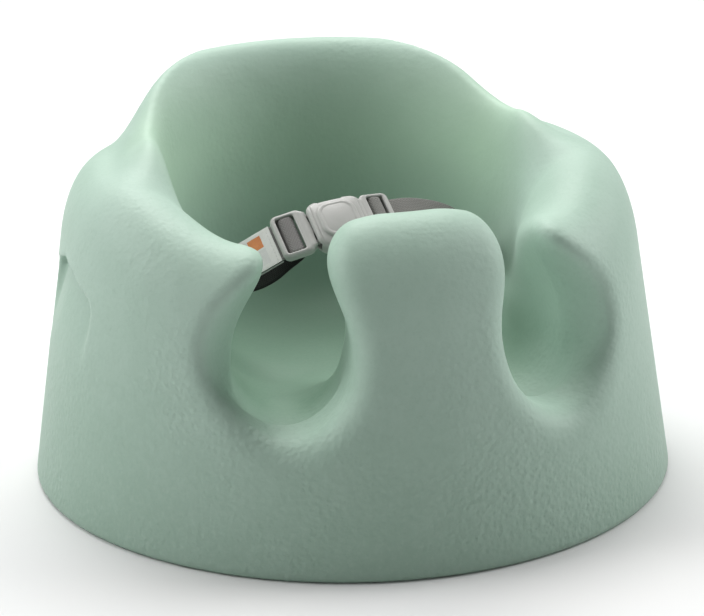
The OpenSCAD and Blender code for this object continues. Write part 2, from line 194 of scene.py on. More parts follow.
# ------------------------------------------------------------------ materials
class Nodes:
    def __init__(self, name):
        self.mat = bpy.data.materials.new(name)
        self.mat.use_nodes = True
        self.t = self.mat.node_tree
        self.t.nodes.clear()
        self.out = self.t.nodes.new("ShaderNodeOutputMaterial")
        self.bsdf = self.t.nodes.new("ShaderNodeBsdfPrincipled")
        self.t.links.new(self.bsdf.outputs[0], self.out.inputs[0])
        self.coord = self.t.nodes.new("ShaderNodeTexCoord").outputs["Object"]

    def set(self, **kw):
        for k, v in kw.items():
            s = self.bsdf.inputs[k.replace("_", " ")]
            if isinstance(v, bpy.types.NodeSocket):
                self.t.links.new(v, s)
            else:
                s.default_value = v

    def _in(self, sock, v):
        if isinstance(v, bpy.types.NodeSocket):
            self.t.links.new(v, sock)
        elif v is not None:
            sock.default_value = v

    def math(self, op, a, b=None, c=None, clamp=False):
        n = self.t.nodes.new("ShaderNodeMath")
        n.operation = op
        n.use_clamp = clamp
        for i, v in enumerate((a, b, c)):
            self._in(n.inputs[i], v)
        return n.outputs[0]

    def mix(self, fac, a, b, blend="MIX"):
        n = self.t.nodes.new("ShaderNodeMix")
        n.data_type = "RGBA"
        n.blend_type = blend
        self._in(n.inputs[0], fac)
        self._in(n.inputs[6], a)
        self._in(n.inputs[7], b)
        return n.outputs[2]

    def noise(self, scale, detail=3.0, rough=0.55, vec=None, distortion=0.0):
        n = self.t.nodes.new("ShaderNodeTexNoise")
        self._in(n.inputs["Vector"], vec or self.coord)
        n.inputs["Scale"].default_value = scale
        n.inputs["Detail"].default_value = detail
        n.inputs["Roughness"].default_value = rough
        n.inputs["Distortion"].default_value = distortion
        return n.outputs["Fac"]

    def cells(self, scale, vec=None, feature="SMOOTH_F1", smooth=0.6, random=1.0):
        n = self.t.nodes.new("ShaderNodeTexVoronoi")
        n.feature = feature
        self._in(n.inputs["Vector"], vec or self.coord)
        n.inputs["Scale"].default_value = scale
        if "Smoothness" in n.inputs and feature == "SMOOTH_F1":
            n.inputs["Smoothness"].default_value = smooth
        n.inputs["Randomness"].default_value = random
        return n.outputs["Distance"]

    def span(self, x, a, b, lo=0.0, hi=1.0):
        n = self.t.nodes.new("ShaderNodeMapRange")
        n.clamp = True
        self._in(n.inputs[0], x)
        for i, v in enumerate((a, b, lo, hi)):
            n.inputs[1 + i].default_value = v
        return n.outputs[0]

    def bump(self, height, distance, strength=1.0, normal=None):
        n = self.t.nodes.new("ShaderNodeBump")
        self._in(n.inputs["Height"], height)
        n.inputs["Distance"].default_value = distance
        self._in(n.inputs["Strength"], strength)
        if normal is not None:
            self._in(n.inputs["Normal"], normal)
        return n.outputs[0]

    def pointiness(self):
        return self.t.nodes.new("ShaderNodeNewGeometry").outputs["Pointiness"]

    def attr(self, name):
        n = self.t.nodes.new("ShaderNodeAttribute")
        n.attribute_name = name
        n.attribute_type = "GEOMETRY"
        return n.outputs["Vector"]

    def xyz(self, vec):
        n = self.t.nodes.new("ShaderNodeSeparateXYZ")
        self._in(n.inputs[0], vec)
        return n.outputs

    def vec(self, x, y, z=0.0):
        n = self.t.nodes.new("ShaderNodeCombineXYZ")
        for i, v in enumerate((x, y, z)):
            self._in(n.inputs[i], v)
        return n.outputs[0]


def rgb(r, g, b):
    """sRGB 0-255 to linear RGBA."""
    f = lambda c: c / 12.92 if c <= 0.04045 else ((c + 0.055) / 1.055) ** 2.4
    return (f(r / 255), f(g / 255), f(b / 255), 1.0)


def foam_material():
    n = Nodes("moulded_foam")
    big = n.noise(7.0, 3.0, 0.5)
    mid = n.noise(38.0, 4.0, 0.6)
    fine = n.noise(520.0, 3.0, 0.6)
    pores = n.span(n.cells(900.0, feature="F1"), 0.02, 0.2, 0.0, 1.0)
    col = n.mix(n.span(big, 0.35, 0.65), rgb(165, 192, 176), rgb(172, 197, 183))
    col = n.mix(n.span(mid, 0.4, 0.75, 0.0, 0.35), col, rgb(180, 203, 190))
    col = n.mix(n.span(fine, 0.55, 0.8, 0.0, 0.25), col, rgb(148, 176, 160))
    col = n.mix(n.span(pores, 0.0, 1.0, 0.22, 0.0), col, rgb(116, 146, 128))
    # painted shade: the wall is painted a little darker towards the bottom, and the floor of the bucket is painted
    # darker too; the inside of the backrest is painted lighter as painted light
    px, py, pz = n.xyz(n.coord)[0:3]
    rad = n.math("SQRT", n.math("ADD", n.math("MULTIPLY", px, px), n.math("MULTIPLY", py, py)))
    bucket_floor_painted_shade = n.math("MULTIPLY", n.span(rad, 0.100, 0.135, 1.0, 0.0), n.span(pz, 0.080, 0.130, 0.55, 0.0))
    backrest_painted_light = n.math("MULTIPLY", n.span(rad, 0.104, 0.134, 1.0, 0.0), n.math("MULTIPLY", n.span(pz, 0.10, 0.17, 0.0, 0.6), n.span(py, -0.02, 0.05)))
    # painted light: the upper inside of the backrest is painted lighter and greener
    col = n.mix(backrest_painted_light, col, rgb(190, 222, 190))
    # painted shade: the foam is painted darker towards the bottom of the wall
    col = n.mix(n.span(pz, 0.0, 0.135, 0.40, 0.0), col, rgb(104, 132, 114))
    # painted shade: the floor of the bucket is painted darker and greener
    col = n.mix(bucket_floor_painted_shade, col, rgb(96, 134, 108))
    # painted shade and painted light: a noise mottle on the outer skin, stronger low on the wall, darker for the skin's
    # hollows and paler for its tops
    skin_painted_shading = n.math("MULTIPLY", n.span(pz, 0.02, 0.19, 1.0, 0.15), n.span(rad, 0.110, 0.140, 0.0, 1.0))
    cell = n.noise(250.0, 3.0, 0.65)
    col = n.mix(n.math("MULTIPLY", skin_painted_shading, n.span(cell, 0.52, 0.70, 0.0, 0.13)), col, rgb(122, 152, 134))
    col = n.mix(n.math("MULTIPLY", skin_painted_shading, n.span(cell, 0.30, 0.48, 0.09, 0.0)), col, rgb(196, 217, 205))
    n.set(Base_Color=col)
    n.set(Roughness=n.math("ADD", n.span(mid, 0.3, 0.7, 0.5, 0.6), n.span(fine, 0.3, 0.7, -0.05, 0.06)))
    n.set(Specular_IOR_Level=0.38, Sheen_Weight=0.06, Sheen_Roughness=0.6)
    # leathery skin of the mould, coarser and stronger low on the wall
    z = pz
    low = n.span(z, 0.02, 0.17, 1.0, 0.35)
    patch = n.span(n.noise(16.0, 2.0, 0.5), 0.42, 0.62, 0.35, 1.0)
    grain = n.math("ADD", n.math("MULTIPLY", n.cells(330.0, smooth=0.8), 0.85), n.math("MULTIPLY", n.noise(240.0, 4.0, 0.62), 0.9))
    outer = n.span(rad, 0.100, 0.135, 0.2, 0.9)
    b1 = n.bump(grain, 0.0008, n.math("MULTIPLY", n.math("MULTIPLY", low, patch), outer))
    b2 = n.bump(n.noise(1100.0, 2.0, 0.7), 0.00010, 0.55, b1)
    b3 = n.bump(n.noise(55.0, 2.0, 0.5), 0.0014, 0.26, b2)
    n.set(Normal=b3)
    return n.mat


def plastic_material(name, base, dark, light, rough=0.42, grain=2200.0):
    n = Nodes(name)
    mottle = n.noise(60.0, 3.0, 0.5)
    fine = n.noise(900.0, 3.0, 0.6)
    edge = n.span(n.pointiness(), 0.50, 0.56)
    # painted shade: concave places, found by pointiness, are painted darker
    crevice_painted_shade = n.span(n.pointiness(), 0.44, 0.50, 1.0, 0.0)
    col = n.mix(n.span(mottle, 0.3, 0.7, 0.0, 0.5), base, light)
    col = n.mix(n.math("MULTIPLY", edge, n.span(fine, 0.35, 0.6, 0.15, 0.55)), col, light)
    col = n.mix(n.math("MULTIPLY", crevice_painted_shade, 0.5), col, dark)
    n.set(Base_Color=col)
    scuff = n.noise(240.0, 4.0, 0.7, distortion=1.2)
    n.set(Roughness=n.math("ADD", n.span(scuff, 0.35, 0.7, rough - 0.07, rough + 0.10), n.math("MULTIPLY", edge, -0.06)))
    n.set(Specular_IOR_Level=0.5)
    n.set(Normal=n.bump(n.noise(grain, 2.0, 0.6), 0.00005, 0.6, n.bump(n.noise(180.0, 3.0, 0.5), 0.00018, 0.25)))
    return n.mat


def web_material(name, face, back, light, pitch=1.15):
    """Woven webbing. 'strip' holds mm along, mm across and 1 on the back face."""
    n = Nodes(name)
    u, v, side = n.xyz(n.attr("strip"))[0:3]
    wob = n.noise(90.0, 2.0, 0.5)
    uu = n.math("ADD", u, n.math("MULTIPLY", wob, 0.25))
    # warp ribs across the width, picks along the length, every other rib shifted by half a pick
    rib = n.math("DIVIDE", v, pitch)
    row = n.math("FLOOR", rib)
    odd = n.math("MODULO", n.math("ABSOLUTE", row), 2.0)
    a = n.math("ABSOLUTE", n.math("SINE", n.math("MULTIPLY", rib, math.pi)))
    b = n.math("ABSOLUTE", n.math("SINE", n.math("MULTIPLY", n.math("ADD", n.math("DIVIDE", uu, pitch * 1.5), n.math("MULTIPLY", odd, 0.5)), math.pi)))
    weave = n.math("MULTIPLY", n.math("POWER", a, 0.7), n.math("POWER", b, 0.6))
    fibre = n.noise(1.0, 3.0, 0.7, vec=n.vec(n.math("MULTIPLY", u, 1.2), n.math("MULTIPLY", v, 9.0), side))
    blotch = n.noise(45.0, 3.0, 0.6)
    # painted shade: the back face takes the back colour, near black on the dark webbing, and the lightening below is
    # kept off it
    col = n.mix(side, face, back)
    out = n.math("SUBTRACT", 1.0, n.math("MULTIPLY", side, 0.92))
    # painted shade in the valleys of the weave and painted light on its ribs
    col = n.mix(n.span(weave, 0.15, 0.95, 0.0, 0.45), n.mix(0.40, col, (0.004, 0.004, 0.004, 1.0)), n.mix(n.math("MULTIPLY", out, 0.25), col, light))
    col = n.mix(n.math("MULTIPLY", out, n.span(fibre, 0.45, 0.8, 0.0, 0.35)), col, light)
    col = n.mix(n.math("MULTIPLY", out, n.span(blotch, 0.45, 0.75, 0.0, 0.18)), col, light)
    n.set(Base_Color=col)
    n.set(Roughness=n.span(fibre, 0.3, 0.7, 0.62, 0.82))
    n.set(Sheen_Weight=0.16, Sheen_Roughness=0.45, Specular_IOR_Level=0.22)
    n.set(Sheen_Tint=(light[0] * 0.5 + 0.4, light[1] * 0.5 + 0.4, light[2] * 0.5 + 0.4, 1.0))
    h = n.math("ADD", weave, n.math("MULTIPLY", fibre, 0.35))
    n.set(Normal=n.bump(h, 0.00022, 0.9))
    return n.mat


def label_material():
    n = Nodes("label_cloth")
    u, v, side = n.xyz(n.attr("strip"))[0:3]
    wob = n.math("MULTIPLY", n.math("SUBTRACT", n.noise(900.0, 2.0, 0.6), 0.5), 0.5)
    uu, vv = n.math("ADD", u, wob), n.math("ADD", v, wob)

    def band(x, a, b):
        return n.math("MULTIPLY", n.math("GREATER_THAN", x, a), n.math("LESS_THAN", x, b))
    weave = n.math("MULTIPLY", n.math("ABSOLUTE", n.math("SINE", n.math("MULTIPLY", u, 8.0))), n.math("ABSOLUTE", n.math("SINE", n.math("MULTIPLY", v, 8.0))))
    mott = n.noise(160.0, 3.0, 0.6)
    col = n.mix(n.span(mott, 0.35, 0.7, 0.0, 0.6), (0.78, 0.77, 0.75, 1.0), (0.66, 0.65, 0.63, 1.0))
    block = n.math("MULTIPLY", band(uu, 6.6, 15.0), band(vv, 1.6, 10.2))
    ink = n.mix(n.span(mott, 0.3, 0.7), rgb(226, 140, 74), rgb(214, 124, 62))
    col = n.mix(block, col, ink)
    bar = n.math("MULTIPLY", band(uu, 6.0, 13.5), band(vv, -10.0, 0.4))
    col = n.mix(n.math("MULTIPLY", bar, 0.35), col, (0.55, 0.55, 0.56, 1.0))
    # painted shade in the gaps of the weave
    col = n.mix(n.span(weave, 0.0, 0.5, 0.25, 0.0), col, (0.35, 0.35, 0.35, 1.0))
    n.set(Base_Color=col, Roughness=n.span(mott, 0.3, 0.7, 0.6, 0.78))
    n.set(Sheen_Weight=0.15, Specular_IOR_Level=0.3)
    n.set(Normal=n.bump(weave, 0.00008, 0.8, n.bump(mott, 0.0006, 0.3)))
    return n.mat


def steel_material():
    n = Nodes("drawn_steel")
    x, y, z = n.xyz(n.coord)[0:3]
    streak = n.noise(1.0, 4.0, 0.6, vec=n.vec(n.math("MULTIPLY", x, 2500.0), n.math("MULTIPLY", y, 90.0), n.math("MULTIPLY", z, 2500.0)))
    n.set(Base_Color=n.mix(n.span(streak, 0.3, 0.7), (0.50, 0.51, 0.53, 1.0), (0.62, 0.63, 0.65, 1.0)))
    n.set(Metallic=1.0, Roughness=n.span(streak, 0.3, 0.7, 0.25, 0.42))
    n.set(Normal=n.bump(streak, 0.00004, 0.6))
    return n.mat


def thread_material(name, colour, light):
    n = Nodes(name)
    f = n.noise(2600.0, 3.0, 0.6)
    n.set(Base_Color=n.mix(n.span(f, 0.35, 0.7), colour, light), Roughness=n.span(f, 0.3, 0.7, 0.55, 0.8))
    n.set(Sheen_Weight=0.3, Normal=n.bump(f, 0.00008, 0.8))
    return n.mat


MAT_FOAM = foam_material()
# the second colour given to each plastic is the painted shade of its concave places
MAT_GREY = plastic_material("buckle_plastic", rgb(163, 163, 160), rgb(108, 106, 102), rgb(180, 179, 176))
MAT_DARK = plastic_material("wall_plate_plastic", (0.035, 0.036, 0.038, 1.0), (0.012, 0.012, 0.013, 1.0), (0.085, 0.086, 0.09, 1.0), 0.5)
# the near-black back colour of the dark webbing is painted shade for its shaded underside
MAT_BLACK = web_material("webbing_dark", (0.25, 0.24, 0.235, 1.0), (0.004, 0.0045, 0.004, 1.0), (0.38, 0.37, 0.36, 1.0))
MAT_TAUPE = web_material("webbing_taupe", (0.32, 0.318, 0.30, 1.0), (0.27, 0.266, 0.25, 1.0), (0.48, 0.475, 0.45, 1.0))
MAT_LABEL = label_material()
MAT_STEEL = steel_material()
MAT_THREAD_B = thread_material("thread_dark", (0.02, 0.02, 0.02, 1.0), (0.09, 0.088, 0.085, 1.0))
MAT_THREAD_W = thread_material("thread_pale", (0.5, 0.49, 0.47, 1.0), (0.75, 0.74, 0.72, 1.0))


# ------------------------------------------------------------------ foam body
def foam_field(x, y, z):
    ax, r = np.abs(x), np.hypot(x, y)
    th = np.degrees(np.arctan2(ax, -y))
    side = ARM_Z + 1.95 * ss(93, 120, th) - DIP * ss(1, 0, np.abs(th - 43.8) / 37.5)
    t = ss(BACK_X + 36.5, BACK_X, ax + BACK_T * (y - 80) + np.maximum(y - 80, 0) ** 2 / 120) * ss(-35, 25, y)
    top = side + (BACK_Z - 5.54 * (ax / 60) ** 2 - 0.22 * np.minimum(ax / 80, 2.5) ** 6 - side) * t
    tq = z - 60.5
    ramp = np.where(tq <= 0, 0, np.where(tq < 49, tq * tq / 98, tq - 24.5))
    fo = (r - (BASE_D / 2 - (TAPER + 0.018 * ss(140, 40, th)) * z - 0.15 * ss(60, 20, th) * ramp)) * 0.985
    f = smx(fo, (z - top) * 0.82, RIM_R - 2.3 * ss(77, 112, th))
    zz = z - FLOOR_Z
    rc = np.hypot(x, y - BUCKET_Y - 0.06 * zz)
    f = smx(f, -smx(rc - BUCKET_R - 0.03 * (zz - 65), -zz, 70), LIP_R)
    ca, sa = math.cos(math.radians(LEG_A)), math.sin(math.radians(LEG_A))
    s = ax * ca + y * sa - LEG_OFF + 0.113 * np.clip(z - LEG_Z - 30, -70, 40)
    q = ax * sa - y * ca
    # each opening flares outwards on its far side and its sill drops inwards
    s = s - LEG_FLARE * ss(112, 140, q) * ss(172, 130, z) * ss(66, 122, z) * ss(0, 30, s)
    zc = z - LEG_Z + 10 * ss(140, 116, q) * ss(LEG_Z, LEG_Z - 25, z)
    hole = np.hypot(s, zc / 1.2) - LEG_R
    neck = smx(np.abs(s) - NECK_W, LEG_Z - z, 10)
    slot = smx(smn(hole, neck, 24), 20 - q, 20)
    f = smx(f, -slot, 16)
    # side recess: a scoop whose crisp upper lip drops towards its two ends
    ay = np.abs(y)
    lip = REC_Z - 0.3 * np.maximum(ay - 2.0, 0) - 0.5
    slope = (REC_D + 5.0) / 36
    line = BASE_D / 2 - (TAPER + 0.012) * lip - REC_D + (lip - z) * slope
    cut = smx(smx((z - lip) * 0.96, (line - r) / math.hypot(1, slope), 2.0), ay - REC_L, 9.0)
    f = smx(f, -cut, 1.8)
    # pocket for the wall plate
    c16, s16 = math.cos(math.radians(16)), math.sin(math.radians(16))
    u = (ax - 87.8) * c16 - (z - ANCHOR_Z) * s16
    w = (ax - 87.8) * s16 + (z - ANCHOR_Z) * c16
    pocket = smx(rr2(w, y - ANCHOR_Y, 6.9, 17.4, 6.9), np.abs(u - 3.8) - 5.2, 2.0)
    f = smx(f, -pocket, 1.6)
    return smx(f, -z, 3.2)


h = 2.35
V, Q = surface(foam_field, (-196.05, -196.05, -1.5 * h), (196.05, 196.05, 236.0), h, 4)
V[:, 2] = np.maximum(V[:, 2], 0.0)
foam = mesh_object("foam_body", V * MM, Q, MAT_FOAM)
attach(foam, "seat")
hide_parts("seat_body")


# ------------------------------------------------------------------ buckle
def frame_obj(name, field, lo, hi, M, mat, body, node, h=0.5):
    V, Q = surface(field, lo, hi, h, 4)
    ob = mesh_object(name, put(M, V) * MM, Q, mat)
    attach(ob, body)
    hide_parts(node)
    return ob


def housing_field(x, y, z):
    yb = y * (1 + 0.00045 * (x + 2.0) ** 2)
    plan = rr2(x, yb, 17.0, 17.5, 7.0)
    crown = 6.4 - smx((x + 3) ** 2 / 140.0, y * y / 90.0, 1.2)
    body = smx(smx(plan, (z - crown) * 0.95, 3.2), -z - 5.4, 2.6)
    # raised pad, its middle sunk a little inside a rim
    pplan = rr2(x + 0.5, y, 11.5, 12.5, 8.0)
    step = 0.95 - 0.38 * ss(-1.9, -2.7, pplan)
    pad = smx(smx(pplan, (z - crown - step) * 0.95, 0.8), -z, 1.0)
    body = smn(body, pad, 0.7)
    # grooves across the two ends
    body = smx(body, -smx(smx(np.abs(x + 14.3) - 0.45, crown - 0.5 - z, 0.4), np.abs(y) - 14.5, 1.0), 0.5)
    body = smx(body, -smx(smx(np.abs(x - 14.4) - 0.45, crown - 0.45 - z, 0.4), np.abs(y) - 13.0, 1.0), 0.5)
    # ladder, drooping a little from its root
    ch, sh = math.cos(math.radians(HL_A)), math.sin(math.radians(HL_A))
    hx, hz = HL_X + (x - HL_X) * ch - z * sh, (x - HL_X) * sh + z * ch
    lad = rr2(hx - 24.75, y, 9.0, 15.2, 3.8)
    lad = smx(lad, np.abs(hz) - 2.6, 1.8)
    lad = smx(lad, -rr2(hx - 25.4, y, 5.2, 13.0, 1.3) - 0.15 * np.maximum(hz - 1.2, 0), 1.2)
    lad = smx(lad, 15.2 - x, 0.5)
    f = smn(body, lad, 0.9)
    f = smx(f, -smx(smx(np.abs(x + 3.5) - 14.5, np.abs(y) - 13.5, 0.8), np.abs(z) - 2.2, 0.8), 0.5)
    f = smx(f, -smx(smx(np.abs(x + 1.4) - 7.6, np.abs(np.abs(y) - 15.4) - 3.0, 0.8), np.abs(z) - 3.4, 1.0), 0.9)
    f = smx(f, -smx(smx(np.abs(hx - 32.3) - 2.5, np.abs(y) - 13.0, 0.6), np.abs(hz + 2.35) - 1.45, 0.5), 0.5)
    bar = smx(np.hypot(np.maximum(np.abs(hx - 25.4) - 1.2, 0), hz + 0.4) - 1.5, np.abs(y) - 13.6, 0.3)
    return smn(f, bar, 0.5)


housing = frame_obj("buckle_shell", housing_field, (-19, -19.5, -8), (35.4, 19.5, 9), BUCKLE, MAT_GREY, "belt", "buckle_housing", 0.48)

CL, SL = math.cos(math.radians(LAD_A)), math.sin(math.radians(LAD_A))


def plug_field(x, y, z):
    # ladder coordinates: the ladder is turned down from the buckle's own direction
    dx = x - LAD_X
    lx, lz = dx * CL + z * SL, -dx * SL + z * CL
    outer = rr2(lx + 9.7, y, 9.7, 15.5, 4.2)
    lad = smx(outer, np.abs(lz) - 3.0, 2.4)
    win = rr2(lx + 10.9, y, 5.7, 13.0, 1.6)
    lad = smx(lad, -win - 0.22 * np.maximum(lz - 1.2, 0), 1.2)
    lad = smx(lad, -smx(smx(np.abs(lx + 17.8) - 2.8, np.abs(y) - 13.0, 0.6), np.abs(lz + 2.5) - 1.5, 0.6), 0.6)
    bar = smx(np.hypot(np.maximum(np.abs(lx + 10.5) - 1.8, 0), lz + 0.6) - 1.5, np.abs(y) - 13.6, 0.3)
    lad = smn(lad, bar, 0.5)
    root = smx(smx(np.abs(x + 18.95) - 1.65, np.abs(y) - 12.6, 1.2), np.abs(z) - 2.6, 1.2)
    tongue = smx(smx(np.abs(x + 7.0) - 11.0, np.abs(y) - 4.0, 1.2), np.abs(z) - 1.8, 0.9)
    lightening = smx(smx(np.abs(x + 5.0) - 6.0, np.abs(y) - 1.6, 0.8), 0.7 - np.abs(z), 0.4)
    tongue = smx(tongue, -lightening, 0.5)
    return smn(smn(lad, root, 1.2), tongue, 1.0)


plug = frame_obj("buckle_plug", plug_field, (-42, -17, -12), (5.6, 17, 7), BUCKLE, MAT_GREY, "plug_half", "plug", 0.48)


def prong_field(sign):
    def f(x, y, z):
        yy = y * sign
        arm = smx(np.abs(x + 6.3) - 10.7, np.abs(yy - 9.4) - 1.2, 0.8)
        grip = 0.22 * (0.5 + 0.5 * np.cos(2 * math.pi * (x + 1.0) / 1.9)) * ss(-8.2, -6.8, x) * ss(0.2, -1.0, x)
        head = smx(np.abs(x + 2.05) - 6.45, np.maximum(8.2 - yy, yy - 16.2 + grip), 0.9)
        head = smx(head, (x - 4.4) * 0.716 + (yy - 12.2) * 0.698, 0.9)
        # hollow behind the thumb pad
        hol = smx(rr2(x + 2.8, yy - 11.7, 3.1, 1.6, 1.0), 0.6 - np.abs(z), 0.4)
        return smx(smx(smn(arm, head, 0.8), np.abs(z) - 1.8, 0.9), -hol, 0.5)
    return f


prong_up = frame_obj("buckle_prong_upper", prong_field(1), (-18.4, 6.6, -3), (6, 17.4, 3), BUCKLE, MAT_GREY, "prong_up", "prong_upper", 0.42)
prong_lo = frame_obj("buckle_prong_lower", prong_field(-1), (-18.4, -17.4, -3), (6, -6.6, 3), BUCKLE, MAT_GREY, "prong_low", "prong_lower", 0.42)


# ------------------------------------------------------------------ wall plates
def plate_field(u, y, w):
    f = smx(rr2(w, y, 6.5, 17.0, 6.5), np.abs(u - 7.3) - 1.3, 1.2)
    f = smx(f, -rr2(w, y, 1.9, (WEB_W + 0.9) / 2, 0.8), 0.9)
    for s in (-1, 1):
        rivet = smx(np.hypot(w, y - s * 15.0) - 1.1, np.abs(u - 6.2) - 0.6, 0.6)
        f = smn(f, rivet, 0.25)
    return f


for side_name, M in (("right", ANCHOR_R), ("left", MIRROR @ ANCHOR_R)):
    V, Q = surface(plate_field, (4.4, -18.6, -8), (9.8, 18.6, 8), 0.45, 4)
    if side_name == "left":
        Q = Q[:, ::-1]
    ob = mesh_object("wall_plate_" + side_name, put(M, V) * MM, Q, MAT_DARK)
    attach(ob, "seat")
    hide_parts("anchor_plate_" + side_name)

for nm in ("anchor_bar_left", "anchor_bar_right"):
    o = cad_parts[nm]
    o.data.materials.clear()
    o.data.materials.append(MAT_STEEL)


# ------------------------------------------------------------------ webbing
def catmull(P, m):
    P = np.asarray(P, float)
    n = len(P)
    out = []
    for i in range(n - 1):
        a, b, c, d = P[max(i - 1, 0)], P[i], P[i + 1], P[min(i + 2, n - 1)]
        for j in range(m):
            t = j / m
            out.append(0.5 * (2 * b + (c - a) * t + (2 * a - 5 * b + 4 * c - d) * t * t + (3 * b - a - 3 * c + d) * t ** 3))
    out.append(P[-1])
    return np.array(out)


def resample(P, step):
    d = np.r_[0, np.cumsum(np.linalg.norm(np.diff(P[:, :2], axis=0), axis=1))]
    n = max(int(round(d[-1] / step)), 2)
    s = np.linspace(0, d[-1], n + 1)
    return np.stack([np.interp(s, d, P[:, k]) for k in range(P.shape[1])], 1), s


def smooth_path(P, rounds=2):
    P = P.copy()
    for _ in range(rounds):
        P[1:-1] = P[1:-1] * 0.5 + 0.25 * (P[:-2] + P[2:])
    return P


def ribbon(path, s0=0.0, width=WEB_W, thick=WEB_T, across=28, place=None, flip=False):
    """Webbing along a path in a plane; place(i, along, width, up) gives the point in the row frame, mm.
    The section has rounded, slightly thinner edges. Returns vertices, quads and the strip attribute."""
    path = path[:, :2]
    n = len(path)
    d = np.gradient(path, axis=0)
    d /= np.linalg.norm(d, axis=1)[:, None]
    nor = np.stack([-d[:, 1], d[:, 0]], 1)
    s = s0 + np.r_[0, np.cumsum(np.linalg.norm(np.diff(path, axis=0), axis=1))]
    vs = np.concatenate([[-1.0, -0.985, -0.95], np.linspace(-0.9, 0.9, across - 5), [0.95, 0.985, 1.0]])
    edge = np.sqrt(np.clip(1 - np.clip((np.abs(vs) - 0.93) / 0.07, 0, 1) ** 2 * 0.85, 0.0, 1))
    sec = [(v, +1, e) for v, e in zip(vs, edge)] + [(v, -1, e) for v, e in zip(vs[::-1], edge[::-1])]
    V, A = [], []
    for i in range(n):
        for v, sg, e in sec:
            up = sg * e * thick / 2 * (1 + 0.02 * math.sin(2.7 * s[i] + 5 * v))
            c = path[i] + nor[i] * up
            V.append(place(i, c, v * width / 2))
            A.append((s[i], v * width / 2, 0.0 if (sg > 0) != flip else 1.0))
    m = len(sec)
    F = [(i * m + j, i * m + (j + 1) % m, (i + 1) * m + (j + 1) % m, (i + 1) * m + j) for i in range(n - 1) for j in range(m)]
    half = m // 2
    caps = []
    for base, order in ((0, 1), ((n - 1) * m, -1)):
        for j in range(half - 1):
            q = (base + j, base + j + 1, base + m - 2 - j, base + m - 1 - j)
            caps.append(q if order < 0 else q[::-1])
    return np.array(V), F + caps, np.array(A), s


def check_out(V, F):
    """Faces turned outwards: the signed volume is made positive."""
    V = np.asarray(V)
    vol = 0.0
    for q in F:
        a = V[q[0]]
        for k in range(1, len(q) - 1):
            vol += np.dot(a, np.cross(V[q[k]], V[q[k + 1]]))
    return [tuple(q) for q in F] if vol > 0 else [tuple(q[::-1]) for q in F]


CBK, SBK = math.cos(math.radians(BK_A)), math.sin(math.radians(BK_A))
CHL, SHL = math.cos(math.radians(HL_A)), math.sin(math.radians(HL_A))


# path points are x and height in the belt's plane and the share of the buckle's own twist and turn
def in_buckle(p):
    return np.array([BK_X + p[0] * CBK - p[1] * SBK, BK_Z + p[0] * SBK + p[1] * CBK, 1.0])


def in_ladder(p):
    return in_buckle([LAD_X + p[0] * CL - p[1] * SL, p[0] * SL + p[1] * CL])


def in_hl(p):
    return in_buckle([HL_X + (p[0] - HL_X) * CHL + p[1] * SHL, (HL_X - p[0]) * SHL + p[1] * CHL])


LBAR, LBAR_S, HBAR, HBAR_S = np.array([-10.5, -0.6]), np.array([1.8, 0.0]), np.array([25.4, -0.4]), np.array([1.2, 0.0])
WRAP = 1.5 + 0.15 + WEB_T / 2
TAIL_A = in_ladder([-20.0, -2.3])
TAIL_DIR = np.array([-math.cos(math.radians(TAIL_V)), -math.sin(math.radians(TAIL_V)), 0.0])


def arc(c, a0, a1, step, conv):
    return [conv(c + WRAP * np.array([math.cos(math.radians(a)), math.sin(math.radians(a))])) for a in np.arange(a0, a1 + 0.1, step)]


left_run = catmull([[-87.8, 0.3, 0], [-84.8, 1.6, 0], [-81.0, 5.2, 0.04], [-74, 13, 0.16], [-66, 24.8, 0.38], [-59, 36.4, 0.66], [-53, 46.6, 0.88], [-48, 54.8, 0.98], in_ladder([-8.6, -7.6]), in_ladder([-7.2, -4.6])], 8)
left_end = np.array(arc(LBAR + LBAR_S, -45, 90, 12, in_ladder) + arc(LBAR - LBAR_S, 90, 180, 12, in_ladder) + [in_ladder([-15.0, -1.7]), in_ladder([-16.1, -2.15]), in_ladder([-18, -2.25]), TAIL_A, TAIL_A + 2 * TAIL_DIR, TAIL_A + 4 * TAIL_DIR, TAIL_A + 24 * TAIL_DIR])
right_run = catmull([[87.8, 0.3, 0], [85.6, 1.4, 0], [83.2, 6.5, 0], [79.8, 17.5, 0.02], [72.5, 33.6, 0.06], [63, 47.5, 0.13], [53, 56.8, 0.25], [44, 62.6, 0.4], [36, 66.6, 0.6], [28, 69.3, 0.85], in_hl([35.4, -2.2]), in_hl([33.4, -2.1]), in_hl([31.4, -2.0])], 6)
right_end = np.array([in_hl([29.8, -1.7])] + arc(HBAR + HBAR_S, -15, 90, 12, in_hl) + arc(HBAR - HBAR_S, 90, 240, 12, in_hl) + [in_hl([24.6, -3.6]), in_hl([28, -4.0]), in_hl([33.4, -4.1]), in_hl([37, -4.5]), in_hl([41, -5.4])])

TURN0 = 90 - TILT


def placed(x, y, z, a):
    c, t, v = math.radians(a * BK_C), math.radians(a * BK_T), z - BK_Z
    u = (x - BK_P) * math.sin(c) + y * math.cos(c)
    return (BK_P + (x - BK_P) * math.cos(c) - y * math.sin(c), u * math.cos(t) + v * math.sin(t) + a * BK_Y, BK_Z + v * math.cos(t) - u * math.sin(t))


def belt_world(q, turn=TURN0):
    r = math.radians(turn)
    return (q[0], ANCHOR_Y + q[1] * math.cos(r) - q[2] * math.sin(r), ANCHOR_Z + q[1] * math.sin(r) + q[2] * math.cos(r))


